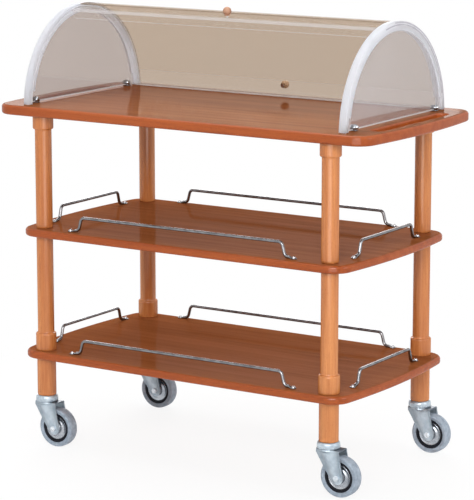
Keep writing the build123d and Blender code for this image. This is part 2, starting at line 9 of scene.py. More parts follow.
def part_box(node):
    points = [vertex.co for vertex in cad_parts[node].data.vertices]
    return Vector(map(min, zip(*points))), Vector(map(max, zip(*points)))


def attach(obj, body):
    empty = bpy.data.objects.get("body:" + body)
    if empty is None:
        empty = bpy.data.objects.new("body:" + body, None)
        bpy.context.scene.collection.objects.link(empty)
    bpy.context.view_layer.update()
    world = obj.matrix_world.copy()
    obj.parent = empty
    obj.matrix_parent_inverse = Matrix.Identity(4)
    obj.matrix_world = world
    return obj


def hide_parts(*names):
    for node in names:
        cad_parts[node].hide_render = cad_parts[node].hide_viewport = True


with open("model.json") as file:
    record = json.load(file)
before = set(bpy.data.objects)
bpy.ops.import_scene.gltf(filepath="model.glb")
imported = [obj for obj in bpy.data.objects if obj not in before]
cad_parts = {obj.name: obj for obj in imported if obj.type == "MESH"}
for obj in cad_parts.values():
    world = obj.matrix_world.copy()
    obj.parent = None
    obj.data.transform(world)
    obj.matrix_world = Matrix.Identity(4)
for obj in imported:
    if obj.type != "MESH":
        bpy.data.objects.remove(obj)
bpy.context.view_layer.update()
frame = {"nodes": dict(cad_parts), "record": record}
nodes = frame["nodes"]
scene = bpy.context.scene

MM = 0.001
# Distances in metres below which points count as one: in a new shape, in a copy and at an arch's step
TOUCHING, MERGED, NEAR = 1e-7, 1e-6, 1e-5
WHITE = (1.0, 1.0, 1.0, 1.0)
CORNERS = ("front_left", "front_right", "rear_left", "rear_right")
LEVELS = ("middle", "bottom")
RAIL_PLACES = ("front", "rear", "left", "right")
FIXED = "trolley_frame"
HINGES = {joint["name"]: joint for joint in frame["record"]["behaviour"]["joints"]}
DOME_AXIS = Vector(HINGES["rear_cover_roll"]["pos_m"])


# Shader building


class Signal:
    """A shader socket. Sums and products of signals add Math nodes to the same finish."""

    def __init__(self, finish, socket):
        self.finish = finish
        self.socket = socket

    def maths(self, operation, first, second):
        """A Math node between two signals or numbers."""
        return self.finish.add("Math", {"operation": operation}, {0: first, 1: second})

    def __add__(self, other):
        return self.maths("ADD", self, other)

    def __radd__(self, other):
        return self.maths("ADD", other, self)

    def __sub__(self, other):
        return self.maths("SUBTRACT", self, other)

    def __rsub__(self, other):
        return self.maths("SUBTRACT", other, self)

    def __mul__(self, other):
        return self.maths("MULTIPLY", self, other)

    def __rmul__(self, other):
        return self.maths("MULTIPLY", other, self)

    def __pow__(self, other):
        return self.maths("POWER", self, other)


class Finish:
    """The node tree of a material or of the world, put together node by node."""

    def __init__(self, owner):
        owner.use_nodes = True
        self.tree = owner.node_tree
        self.tree.nodes.clear()

    def add(self, kind, settings=None, sockets=None, out=0):
        """Any node: its settings first, then the values or links of its sockets."""
        node = self.tree.nodes.new("ShaderNode" + kind)
        for name, value in (settings or {}).items():
            setattr(node, name, value)
        for name, value in (sockets or {}).items():
            if isinstance(value, Signal):
                self.tree.links.new(value.socket, node.inputs[name])
            else:
                node.inputs[name].default_value = value
        return Signal(self, node.outputs[out]) if node.outputs else None

    def place(self):
        """Object coordinates."""
        return self.add("TexCoord", out="Object")

    def noise(self, scale, detail=3.0, roughness=0.55, twist=0.0):
        """Noise on Object coordinates, its scale one number or one for each of X, Y and Z."""
        scales = [scale] * 3 if isinstance(scale, float) else scale
        spot = self.add("Mapping", None, {"Vector": self.place(), "Scale": scales})
        sockets = {"Vector": spot, "Scale": 1.0, "Detail": detail}
        sockets |= {"Roughness": roughness, "Distortion": twist}
        return self.add("TexNoise", None, sockets)

    def ease(self, value, low, high, to_low=0.0, to_high=1.0):
        """A smooth step of a value from one range to another."""
        sockets = {"Value": value, "From Min": low, "From Max": high, "To Min": to_low, "To Max": to_high}
        return self.add("MapRange", {"interpolation_type": "SMOOTHSTEP"}, sockets)

    def blend(self, amount, first, second, mode="MIX"):
        """A mix of two colours."""
        settings = {"data_type": "RGBA", "blend_type": mode}
        return self.add("Mix", settings, {0: amount, 6: first, 7: second}, out=2)

    def bump(self, height, depth, strength=1.0):
        """A normal from a height signal, depth in metres."""
        return self.add("Bump", None, {"Height": height, "Distance": depth, "Strength": strength})

    def mix(self, amount, first, second):
        """A mix of two shaders."""
        return self.add("MixShader", None, {0: amount, 1: first, 2: second})

    def show(self, shader):
        """Send a shader to the material's surface."""
        self.add("OutputMaterial", None, {"Surface": shader})


def shade(red, green, blue):
    """A colour from its screen values, 0 to 255."""

    def linear(value):
        value /= 255
        return value / 12.92 if value <= 0.04045 else ((value + 0.055) / 1.055) ** 2.4

    return (linear(red), linear(green), linear(blue), 1.0)


def finish_called(name):
    """A new material and the finish that fills it."""
    material = bpy.data.materials.new(name)
    return material, Finish(material)


# Wood

# Figure of beech, in features to a metre: clouds, then streaks, fibres and flecks along and across the grain
CLOUDS = 2.3
STREAKS, FIBRES, FLECKS = (1.5, 46.0), (16.0, 760.0), (150.0, 1500.0)
FLECK_SHADE = 0.28
# Slow waves in the lacquer of a turned piece and of a board, in features to a metre
TURNED_WAVE, BOARD_WAVE = 18.0, 9.0
# Depth of the open grain in metres
TURNED_GRAIN, BOARD_GRAIN = 0.00004, 0.00003
LIPPING_GLOSS = 0.55
LIPPING_DARK, LIPPING_LIGHT = shade(148, 68, 28), shade(169, 85, 38)


def grain(along, figure):
    """A texture scale that is coarse along the grain and fine across it."""
    coarse, fine = figure
    return [coarse if axis == along else fine for axis in range(3)]


def wood_tones(f, along, dark, light):
    """Stain colour of beech: broad clouds, streaks, fibres and small dark flecks."""
    cloud = f.noise(CLOUDS, 2.0)
    streak = f.noise(grain(along, STREAKS), 5.0, 0.62, 0.25)
    fibre = f.noise(grain(along, FIBRES), 2.0, 0.5)
    fleck = f.ease(f.noise(grain(along, FLECKS), 1.0, 0.4), 0.62, 0.72)
    tone = f.ease(0.55 * streak + 0.25 * fibre + 0.2 * cloud, 0.32, 0.68)
    stained = f.blend(tone, dark, light)
    flecked = f.blend(FLECK_SHADE * fleck, stained, dark, "MULTIPLY")
    return flecked, fibre, fleck


def lacquered_wood(name, along, dark, light, gloss):
    """Turned wood under a clear lacquer."""
    material, f = finish_called(name)
    colour, fibre, fleck = wood_tones(f, along, dark, light)
    wave = f.noise(TURNED_WAVE, 2.0)
    slant = f.add("LayerWeight", None, {"Blend": 0.5}, out="Facing")
    sockets = {
        "Base Color": colour,
        "Roughness": 0.34 + 0.10 * fibre + 0.06 * wave,
        "Specular IOR Level": 0.0,
        "Coat Weight": gloss * (1.0 - slant * slant),
        "Coat Roughness": 0.22,
        "Normal": f.bump(fibre - 0.6 * fleck, TURNED_GRAIN, 0.6),
    }
    f.show(f.add("BsdfPrincipled", None, sockets))
    return material


def shelf_wood(name, dark, light, gloss):
    """Brown veneer on the faces of a board and an orange stained lipping round its edge."""
    material, f = finish_called(name)
    face, fibre, fleck = wood_tones(f, 0, dark, light)
    lipping, _, _ = wood_tones(f, 0, LIPPING_DARK, LIPPING_LIGHT)
    upright = f.add("SeparateXYZ", None, {0: f.add("TexCoord", out="Normal")}, out=2)
    flat = f.ease(upright * upright, 0.72, 0.97)
    wave = f.noise(BOARD_WAVE, 2.0)
    sockets = {
        "Base Color": f.blend(flat, lipping, face),
        "Roughness": 0.16 + 0.08 * fibre + 0.06 * wave,
        "Specular IOR Level": 0.0,
        "Coat Weight": LIPPING_GLOSS + (gloss - LIPPING_GLOSS) * flat,
        "Coat Roughness": 0.10,
        "Normal": f.bump(fibre - 0.5 * fleck, BOARD_GRAIN, 0.5),
    }
    f.show(f.add("BsdfPrincipled", None, sockets))
    return material


# Metal, rubber and plastic

# Marks in features to a metre and depths in metres, for metal, rubber, mouldings, tracks and clear sheet
METAL_CLOUDS, METAL_SCUFFS = 60.0, 420.0
POLISH_DEPTH = 0.00002
DUST, GRIT, GRIT_DEPTH = 90.0, 1300.0, 0.00005
SPARKS, MOULD_CLOUDS = 1500.0, 40.0
DRAW_LINES, TRACK_CLOUDS, DRAW_DEPTH = (900.0, 30.0, 30.0), 14.0, 0.00003
SHEET_CLOUDS = 6.0
# White of the painted highlights on the cut edges, folds, lips and margins of clear sheet
PAINTED_HIGHLIGHT_WHITE = shade(240, 240, 243)


def plated_metal(name, light, dark, roughness, spread, brushed, metallic=1.0, painted_shade=None):
    """Plated metal with clouds, polishing lines and scuffs, and painted shade where it is marked as
    recessed.
    """
    material, f = finish_called(name)
    cloud = f.noise(METAL_CLOUDS, 3.0)
    lines = f.noise(brushed, 2.0, 0.6)
    scuff = f.ease(f.noise(METAL_SCUFFS, 2.0), 0.60, 0.74)
    colour = f.blend(f.ease(cloud, 0.35, 0.7), light, dark)
    if painted_shade:
        # Painted shade: the colour darkens towards the shade colour where the recess mark is set
        recess = f.add("Attribute", {"attribute_name": "recess"}, out="Fac")
        colour = f.blend(recess, colour, painted_shade)
    sockets = {
        "Base Color": colour,
        "Metallic": metallic,
        "Roughness": roughness + spread * (0.5 * cloud + 0.3 * lines + 0.4 * scuff),
        "Normal": f.bump(lines + 0.5 * cloud, POLISH_DEPTH, 0.35),
    }
    f.show(f.add("BsdfPrincipled", None, sockets))
    return material


def tyre_rubber():
    """Bluish grey non-marking rubber, a little dusty."""
    material, f = finish_called("grey_tyre_rubber")
    dust = f.noise(DUST, 4.0)
    grit = f.noise(GRIT, 2.0)
    tone = f.ease(0.7 * dust + 0.3 * grit, 0.35, 0.68)
    sockets = {
        "Base Color": f.blend(tone, shade(138, 150, 164), shade(168, 180, 193)),
        "Roughness": 0.48 + 0.25 * dust,
        "Specular IOR Level": 0.4,
        "Normal": f.bump(grit + 0.6 * dust, GRIT_DEPTH, 0.6),
    }
    f.show(f.add("BsdfPrincipled", None, sockets))
    return material


def moulded_plastic(name, dark, light, roughness, depth):
    """Moulded plastic with a fine spark texture."""
    material, f = finish_called(name)
    spark = f.noise(SPARKS, 2.0)
    cloud = f.noise(MOULD_CLOUDS, 3.0)
    sockets = {
        "Base Color": f.blend(f.ease(cloud, 0.3, 0.7), dark, light),
        "Roughness": roughness + 0.12 * cloud + 0.08 * spark,
        "Specular IOR Level": 0.15,
        "Normal": f.bump(spark, depth, 0.5),
    }
    f.show(f.add("BsdfPrincipled", None, sockets))
    return material


def track_plastic():
    """Bluish white extruded track that lets light through, with faint draw lines."""
    material, f = finish_called("white_track_plastic")
    lines = f.noise(DRAW_LINES, 2.0)
    cloud = f.noise(TRACK_CLOUDS, 3.0)
    colour = f.blend(f.ease(cloud, 0.3, 0.7), shade(232, 235, 239), shade(242, 243, 245))
    sockets = {
        "Base Color": colour,
        "Roughness": 0.28 + 0.06 * lines + 0.06 * cloud,
        "Specular IOR Level": 0.35,
        "Normal": f.bump(lines, DRAW_DEPTH, 0.1),
    }
    solid = f.add("BsdfPrincipled", None, sockets)
    glow = f.add("BsdfTranslucent", None, {"Color": shade(239, 240, 243)})
    f.show(f.mix(0.62 + 0.2 * cloud, solid, glow))
    return material


def frosted(f, colour):
    """A matt surface that sends on as much light as it throws back."""
    lit = f.add("BsdfDiffuse", None, {"Color": colour})
    glow = f.add("BsdfTranslucent", None, {"Color": colour})
    return f.mix(0.5, lit, glow)


def acrylic_sheet(name, tint, haze_colour, haze, shine):
    """Clear sheet: tinted straight through, a mirror at a slant, with a faint haze and painted highlights on
    its cut edges and other marked faces.
    """
    material, f = finish_called(name)
    cloud = f.noise(SHEET_CLOUDS, 3.0)
    slant = f.add("LayerWeight", None, {"Blend": 0.5}, out="Facing")
    tinted = f.add("BsdfTransparent", None, {"Color": tint})
    plain = f.add("BsdfTransparent", None, {"Color": WHITE})
    clear = f.mix(f.ease(slant, 0.84, 1.0, 0.0, 0.85), tinted, plain)
    mirror = f.add("BsdfGlossy", None, {"Roughness": 0.01 + 0.03 * cloud})
    mirrored = f.mix(shine * (0.04 + 0.96 * slant**5), clear, mirror)
    sheet = f.mix(haze * (0.75 + 0.5 * cloud), mirrored, frosted(f, haze_colour))
    # Painted highlight: a matt white where the mesh marks the sheet's edges, folds, lips and margins
    rim = f.add("Attribute", {"attribute_name": "rim"}, out="Fac")
    f.show(f.mix(rim, sheet, frosted(f, PAINTED_HIGHLIGHT_WHITE)))
    return material


FINISHES = {
    "stained_wood": shelf_wood("shelf_veneer", shade(136, 78, 42), shade(163, 98, 58), gloss=0.02),
    "turned_wood": lacquered_wood(
        "turned_post_wood", 2, shade(179, 103, 54), shade(213, 141, 82), gloss=1.0
    ),
    # Beech of the rear knob, painted much lighter than the front knob's against the shade behind the tinted
    # rear cover
    "pale_wood": lacquered_wood(
        "rear_knob_beech_painted_light", 2, shade(244, 216, 190), shade(253, 238, 220), gloss=0.6
    ),
    "chrome_wire": plated_metal(
        "rail_chrome",
        shade(144, 143, 145),
        shade(116, 115, 117),
        roughness=0.18,
        spread=0.10,
        brushed=1800.0,
    ),
    "chrome_clamp": plated_metal(
        "clamp_chrome",
        shade(168, 170, 174),
        shade(128, 130, 136),
        roughness=0.08,
        spread=0.10,
        brushed=1800.0,
    ),
    "bright_steel": plated_metal(
        "fork_zinc",
        shade(192, 204, 213),
        shade(168, 182, 194),
        roughness=0.26,
        spread=0.16,
        brushed=(900.0, 900.0, 60.0),
        metallic=0.4,
        # Painted shade inside the fork and beside its rib
        painted_shade=shade(76, 86, 98),
    ),
    "hub_steel": plated_metal(
        "hub_zinc",
        shade(182, 186, 192),
        shade(152, 158, 167),
        roughness=0.20,
        spread=0.16,
        brushed=500.0,
    ),
    "screw_steel": plated_metal(
        "screw_steel",
        shade(206, 207, 210),
        shade(182, 184, 188),
        roughness=0.18,
        spread=0.16,
        brushed=700.0,
    ),
    "black_plastic": moulded_plastic(
        "wheel_plastic", shade(14, 15, 22), shade(26, 27, 36), roughness=0.42, depth=0.00003
    ),
    "grey_rubber": tyre_rubber(),
    "white_plastic": track_plastic(),
    "clear_panel": acrylic_sheet(
        "right_panel_acrylic", (0.91, 0.91, 0.93, 1.0), shade(238, 236, 240), haze=0.13, shine=1.8
    ),
}
# Finishes of single pieces that differ from others in their slot
PANEL_ACRYLIC = {
    "left": acrylic_sheet(
        "left_panel_acrylic", (0.72, 0.675, 0.65, 1.0), shade(240, 234, 233), haze=0.13, shine=1.8
    ),
    "right": FINISHES["clear_panel"],
}
BOLT_ZINC = plated_metal(
    "bolt_zinc",
    shade(228, 234, 240),
    shade(206, 214, 222),
    roughness=0.22,
    spread=0.16,
    brushed=700.0,
    metallic=0.5,
)
TABLE_WOOD = shelf_wood("table_veneer", shade(116, 65, 35), shade(140, 84, 48), gloss=0.12)
# Both knobs are the same beech; the rear one's paler colour is painted light
KNOB_WOOD = {
    "front": lacquered_wood(
        "stained_knob_beech", 2, shade(160, 116, 92), shade(192, 147, 120), gloss=0.6
    ),
    "rear": FINISHES["pale_wood"],
}
COVER_ACRYLIC = {
    "front": acrylic_sheet(
        "front_cover_acrylic", (0.985, 0.98, 0.972, 1.0), shade(236, 228, 216), haze=0.012, shine=0.02
    ),
    "rear": acrylic_sheet(
        "rear_cover_acrylic", (0.715, 0.645, 0.58, 1.0), shade(232, 216, 194), haze=0.06, shine=0.02
    ),
}
FINISHES["tinted_cover"] = COVER_ACRYLIC["rear"]
EDGE_ACRYLIC = moulded_plastic(
    "cover_edge_acrylic", shade(176, 174, 182), shade(192, 190, 197), roughness=0.3, depth=0.00001
)


# Modelling

FLAT_ENOUGH = math.radians(0.6)


def spun(profile, steps, closed=False):
    """Turn a profile of (radius, height) points, in millimetres, about Z."""
    bm = bmesh.new()
    verts = [bm.verts.new((radius * MM, 0, height * MM)) for radius, height in profile]
    edges = [bm.edges.new(pair) for pair in zip(verts, verts[1:])]
    if closed:
        edges.append(bm.edges.new((verts[-1], verts[0])))
    whole = {"cent": (0, 0, 0), "axis": (0, 0, 1), "angle": math.tau, "steps": steps}
    bmesh.ops.spin(bm, geom=verts + edges, use_merge=True, **whole)
    bmesh.ops.remove_doubles(bm, verts=bm.verts, dist=TOUCHING)
    bmesh.ops.recalc_face_normals(bm, faces=bm.faces)
    return bm


def cut(bm, spot, square, cleared=False):
    """Cut a mesh along a plane, clear what lies behind it if asked, and return the new edges."""
    everything = bm.verts[:] + bm.edges[:] + bm.faces[:]
    plane = {"plane_co": spot, "plane_no": square, "clear_inner": cleared, "dist": TOUCHING}
    return ends_of(bmesh.ops.bisect_plane(bm, geom=everything, **plane)["geom_cut"])[1]


def ends_of(made):
    """Vertices and edges among what an operator made."""
    verts = [g for g in made if isinstance(g, bmesh.types.BMVert)]
    edges = [g for g in made if isinstance(g, bmesh.types.BMEdge)]
    return verts, edges


def soften(bm, width, segments=2, limit=30.0):
    """Round every edge that is sharper than a limit in degrees, by a width in millimetres."""
    shared = [e for e in bm.edges if len(e.link_faces) == 2]
    sharp = [e for e in shared if e.calc_face_angle() > math.radians(limit)]
    bmesh.ops.bevel(
        bm,
        geom=sharp,
        offset=width * MM,
        segments=segments,
        profile=0.5,
        affect="EDGES",
        material=-1,
        clamp_overlap=True,
    )
    return bm


def turn(bm, matrix):
    """Move a mesh to its place, and return it."""
    bmesh.ops.transform(bm, matrix=matrix, verts=bm.verts)
    return bm


def joined(parts):
    """One mesh from several, each consumed."""
    whole = bmesh.new()
    for part in parts:
        mesh = bpy.data.meshes.new("part")
        part.to_mesh(mesh)
        part.free()
        whole.from_mesh(mesh)
        bpy.data.meshes.remove(mesh)
    return whole


def copied(bm, matrix):
    """A second mesh like the first, moved to its own place."""
    return turn(bm.copy(), matrix)


def softened_node(node, width, segments):
    """A copy of a CAD node's mesh, its flat triangles joined and its sharp edges rounded."""
    bm = bmesh.new()
    bm.from_mesh(nodes[node].data)
    bmesh.ops.remove_doubles(bm, verts=bm.verts, dist=MERGED)
    bmesh.ops.dissolve_limit(bm, angle_limit=FLAT_ENOUGH, verts=bm.verts, edges=bm.edges)
    return soften(bm, width, segments)


def piece(name, bm, slot, body, stands_for=(), sharp=40.0):
    """Finish a mesh as a piece that rides on a body, with creases above a sharp angle in degrees."""
    mesh = bpy.data.meshes.new(name)
    bm.to_mesh(mesh)
    bm.free()
    mesh.materials.append(FINISHES[slot])
    mesh.shade_smooth()
    mesh.set_sharp_from_angle(angle=math.radians(sharp))
    made = bpy.data.objects.new(name, mesh)
    scene.collection.objects.link(made)
    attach(made, body)
    if stands_for:
        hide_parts(*stands_for)
    return made


def middle_of(node):
    """Centre of a CAD node's box."""
    low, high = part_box(node)
    return (low + high) / 2


# Casters

# Turned pieces laid along Y, as a wheel's axle is, and along X
ON_AXLE = Matrix.Rotation(math.pi / 2, 4, "X")
ALONG_X = Matrix.Rotation(math.pi / 2, 4, "Y")

# Half profiles as (radius, distance from the wheel's middle), in millimetres
TYRE_HALF = [
    (38.0, 12.4),
    (38.7, 13.2),
    (39.6, 13.4),
    (40.3, 13.1),
    (41.0, 13.5),
    (43.6, 14.6),
    (45.8, 15.0),
    (47.3, 14.5),
    (48.5, 13.3),
    (49.3, 11.3),
    (49.8, 8.4),
    (50.0, 4.5),
    (50.0, 0.5),
    (49.7, 0.2),
]
CORE_HALF = [
    (6.0, 17.3),
    (12.6, 17.3),
    (13.2, 16.7),
    (13.4, 8.6),
    (14.2, 8.0),
    (30.2, 8.0),
    (31.0, 8.8),
    (31.2, 12.2),
    (31.9, 12.9),
    (37.0, 12.9),
    (37.9, 12.2),
]
# Whole profiles of a pressed cap and of an upper race, as (radius, height)
CAP_PROFILE = [
    (5.2, 17.75),
    (11.4, 17.75),
    (12.6, 17.3),
    (13.3, 16.4),
    (13.8, 12.8),
    (14.6, 12.0),
    (16.6, 12.2),
    (19.0, 11.9),
    (21.0, 11.0),
    (22.2, 10.1),
    (23.4, 9.7),
    (27.6, 9.7),
    (28.3, 10.2),
    (29.3, 10.4),
    (30.2, 9.9),
    (30.5, 8.9),
    (30.1, 8.3),
]
HEAD_PROFILE = [
    (6.0, 0.0),
    (26.2, 0.0),
    (27.6, 0.5),
    (28.4, 1.6),
    (28.5, 3.4),
    (28.5, 7.0),
    (28.2, 10.0),
    (27.6, 12.4),
    (26.6, 14.4),
    (25.2, 15.6),
    (6.0, 15.6),
]
# Fork: cutting steps along X, Y and Z, how far the crown's rear is drawn in, where a cheek begins
PRESS_GRID = (4.0, 6.0, 8.0)
CROWN_ROUNDING = 0.3
CHEEK_SHARE = 0.6
# Rib from the axle up to the crown: its lean, half width at the axle, gain in half width and height
RIB_LEAN, RIB_FOOT, RIB_SPREAD, RIB_RAISE = -25.0, 14.0, 8.0, 4.5
# How fast the rib rises out of the crown
RIB_START = 4.0
# Share of painted shade on the zinc between the cheeks and beside the rib
INNER_PAINTED_SHADE, FLANGE_PAINTED_SHADE = 0.95, 0.42
# Radius left flat round the axle bolt
BOLT_SEAT = 9.0
FORK_EASING, BOLT_EASING = 1.2, 0.6
TYRE_STEPS, WHEEL_STEPS, RACE_STEPS = 96, 72, 72


def between(value):
    """A value held to the range from 0 to 1."""
    return min(max(value, 0.0), 1.0)


def both_faces(half):
    """A closed profile from its upper half and the mirror image below."""
    return half + [(radius, -height) for radius, height in reversed(half)]


def wheel_pieces():
    """Tyre, core and pressed caps of every wheel."""
    for corner in CORNERS:
        body = f"{corner}_wheel"
        place = Matrix.Translation(middle_of(f"tyre_{corner}")) @ ON_AXLE
        tyre = turn(spun(both_faces(TYRE_HALF), TYRE_STEPS, closed=True), place)
        piece(f"grey_tyre_{corner}", tyre, "grey_rubber", body, [f"tyre_{corner}"], sharp=60.0)
        core = turn(spun(both_faces(CORE_HALF), WHEEL_STEPS, closed=True), place)
        piece(f"black_core_{corner}", core, "black_plastic", body, [f"wheel_core_{corner}"])
        cap = spun(CAP_PROFILE, WHEEL_STEPS)
        other = copied(cap, Matrix.Rotation(math.pi, 4, "X"))
        caps = turn(joined([cap, other]), place)
        piece(f"pressed_caps_{corner}", caps, "hub_steel", body, [f"hub_caps_{corner}"])


def pressed_fork(corner):
    """A fork whose crown is rounded at the rear and whose cheeks are pressed out to a rib, with painted
    shade between the cheeks and beside the rib.
    """
    bm = softened_node(f"fork_{corner}", FORK_EASING, segments=3)
    low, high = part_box(f"fork_{corner}")
    swivel = middle_of(f"leg_{corner}")
    axle = middle_of(f"axle_{corner}")
    for axis, step in enumerate(PRESS_GRID):
        count = int((high[axis] - low[axis]) / (step * MM))
        for number in range(1, count + 1):
            spot, square = Vector(), Vector()
            spot[axis] = low[axis] + number * step * MM
            square[axis] = 1.0
            cut(bm, spot, square)
    half_width = (high.y - low.y) / 2
    # Share of painted shade: most between the cheeks, less on the flanges beside the rib
    recess = bm.verts.layers.float.new("recess")
    for vert in bm.verts:
        across = (vert.co.y - swivel.y) / half_width
        behind = min(vert.co.x - swivel.x, 0.0)
        vert.co.x -= CROWN_ROUNDING * behind * across**2
        if abs(across) < CHEEK_SHARE:
            vert[recess] = INNER_PAINTED_SHADE
            continue
        rise = (vert.co.z - axle.z) / (high.z - axle.z)
        middle = axle.x + rise * RIB_LEAN * MM
        half_rib = (RIB_FOOT + rise * RIB_SPREAD) * MM
        swell = max(0.0, 1.0 - ((vert.co.x - middle) / half_rib) ** 2)
        reach = math.hypot(vert.co.x - axle.x, vert.co.z - axle.z) / MM
        off_bolt = between((reach - BOLT_SEAT) / RIB_FOOT)
        off_crown = between((1.0 - rise) * RIB_START)
        vert.co.y += math.copysign(RIB_RAISE * MM * swell * off_bolt * off_crown, across)
        vert[recess] = FLANGE_PAINTED_SHADE * (1.0 - swell)
    return bm


def fork_pieces():
    """Pressed forks, axle bolts and the fixed races above them."""
    for corner in CORNERS:
        body = f"{corner}_fork"
        fork = pressed_fork(corner)
        piece(f"pressed_fork_{corner}", fork, "bright_steel", body, [f"fork_{corner}"], sharp=50.0)
        bolt = softened_node(f"axle_{corner}", BOLT_EASING, segments=2)
        made = piece(f"axle_bolt_{corner}", bolt, "screw_steel", body, [f"axle_{corner}"])
        made.data.materials[0] = BOLT_ZINC
    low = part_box("caster_heads")[0].z
    races = []
    for corner in CORNERS:
        post = middle_of(f"leg_{corner}")
        race = spun(HEAD_PROFILE, RACE_STEPS, closed=True)
        races.append(turn(race, Matrix.Translation((post.x, post.y, low))))
    piece("upper_races", joined(races), "bright_steel", FIXED, ["caster_heads"])


# Gallery rails

# Radius of the wire, rise of its top run, lean of a leg, length of a foot, and radii of a bend and an eye
WIRE_RADIUS = 4.0
RAIL_RISE = 34.0
RAIL_LEAN = 9.0
RAIL_FOOT = 25.0
RAIL_BEND = 12.0
EYE_RADIUS = 7.0
WIRE_SIDES, WIRE_BEND_STEPS, EYE_STEPS = 20, 8, 32
EYE_PROFILE = [(2.3, 0.2), (5.9, 0.0), (6.7, 0.4), (7.0, 1.2), (6.8, 2.3), (6.0, 3.0), (2.3, 3.0)]
# Where the wire is flattened: distance from the eye's middle, half height, half width and height of its axis
FLATTENED = [(5.0, 1.3, 5.2, 1.6), (7.5, 2.2, 4.8, 2.4), (10.5, 3.3, 4.3, 3.4), (14.0, 4.0, 4.0, 4.0)]


def wire_run(bm, ring, step):
    """Extrude the open end of a wire by a straight step and return the new end."""
    verts, edges = ends_of(bmesh.ops.extrude_edge_only(bm, edges=ring)["geom"])
    bmesh.ops.translate(bm, verts=verts, vec=step)
    return [e for e in edges if all(v in verts for v in e.verts)]


def wire_bend(bm, ring, centre, angle):
    """Spin the open end of a wire about a level axis across the rail."""
    verts = list({v for e in ring for v in e.verts})
    spin = {"cent": centre, "axis": (0, 1, 0), "angle": angle, "steps": WIRE_BEND_STEPS}
    return ends_of(bmesh.ops.spin(bm, geom=verts + ring, **spin)["geom_last"])[1]


def half_rail(end):
    """Half a wire rail along X, from its eye at -end to the middle of its top run."""
    bm = bmesh.new()
    section = {"segments": WIRE_SIDES, "radius": WIRE_RADIUS * MM, "matrix": ALONG_X}
    start = bmesh.ops.create_circle(bm, cap_ends=False, **section)
    ring = list({e for v in start["verts"] for e in v.link_edges})
    first = ring
    x = -end
    for number, (reach, high, wide, axis) in enumerate(FLATTENED):
        if number:
            ring = wire_run(bm, ring, (0, 0, 0))
        verts = list({v for e in ring for v in e.verts})
        here = sum((v.co for v in verts), Vector()) / len(verts)
        spans = [max(abs(v.co[i] - here[i]) for v in verts) for i in (1, 2)]
        for v in verts:
            v.co.x = (x + reach) * MM
            v.co.y = (v.co.y - here.y) / spans[0] * wide * MM
            v.co.z = (v.co.z - here.z) / spans[1] * high * MM + axis * MM
    slope = math.atan2(RAIL_RISE, RAIL_LEAN)
    spare = RAIL_BEND * math.tan(slope / 2)
    foot_end = x + RAIL_FOOT - spare
    ring = wire_run(bm, ring, ((foot_end - x - FLATTENED[-1][0]) * MM, 0, 0))
    ring = wire_bend(bm, ring, (foot_end * MM, 0, (WIRE_RADIUS + RAIL_BEND) * MM), -slope)
    climb = math.hypot(RAIL_RISE, RAIL_LEAN) - 2 * spare
    ring = wire_run(bm, ring, (climb * math.cos(slope) * MM, 0, climb * math.sin(slope) * MM))
    top_start = x + RAIL_FOOT + RAIL_LEAN + spare
    ring = wire_bend(bm, ring, (top_start * MM, 0, (WIRE_RADIUS + RAIL_RISE - RAIL_BEND) * MM), slope)
    wire_run(bm, ring, (-top_start * MM, 0, 0))
    bmesh.ops.edgenet_fill(bm, edges=first)
    eye = turn(spun(EYE_PROFILE, EYE_STEPS, closed=True), Matrix.Translation((x * MM, 0, 0)))
    return joined([bm, eye])


def whole_rail(end):
    """A rail along X on Z = 0, mirrored from its half."""
    half = half_rail(end)
    other = copied(half, Matrix.Scale(-1, 4, (1, 0, 0)))
    rail = joined([half, other])
    bmesh.ops.remove_doubles(rail, verts=rail.verts, dist=MERGED)
    bmesh.ops.recalc_face_normals(rail, faces=rail.faces)
    return rail


def gallery_rails():
    """A rail along each side of the middle and the bottom shelf."""
    for level in LEVELS:
        for place in RAIL_PLACES:
            node = f"{level}_rail_{place}"
            low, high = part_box(node)
            size, centre = high - low, (low + high) / 2
            lengthwise = size.x > size.y
            end = max(size.x, size.y) / (2 * MM) - EYE_RADIUS
            rail = whole_rail(end)
            spin = Matrix.Identity(4) if lengthwise else Matrix.Rotation(math.pi / 2, 4, "Z")
            turn(rail, Matrix.Translation((centre.x, centre.y, low.z)) @ spin)
            piece(f"{level}_wire_{place}", rail, "chrome_wire", FIXED, [node], sharp=50.0)


# Posts and legs

POST_RADIUS, COLLAR_RADIUS, LEG_RADIUS = 21.0, 26.0, 24.0
# Heights of the collars under the top shelf and on the bottom shelf
TOP_COLLAR, FOOT_COLLAR = 35.0, 45.0
POST_STEPS = 56
# Outer ends of a turned piece, as (step in from its radius, step in from its end)
EASED_END = [(2.6, 0.0), (1.2, 0.5), (0.4, 1.4), (0.0, 2.8), (0.0, 6.0)]
SQUARE_END = [(1.2, 0.0), (0.4, 0.3), (0.0, 1.2), (0.0, 4.0)]
# A collar's rounded shoulder, as (radius beyond the post, step into the collar)
SHOULDER = [
    (0.0, -5.0),
    (0.0, -1.2),
    (0.4, -0.3),
    (1.2, 0.0),
    (3.0, 0.5),
    (4.2, 1.6),
    (4.8, 3.0),
    (5.0, 4.6),
    (5.0, 8.0),
]


def turned(radius, height, lower, upper, middle=()):
    """A turned piece from the floor of its profile to its top, closed at both poles."""
    low = [(radius[0] - step, rise) for step, rise in lower]
    high = [(radius[1] - step, height - rise) for step, rise in reversed(upper)]
    return spun([(0.0, 0.0), *low, *middle, *high, (0.0, height)], POST_STEPS)


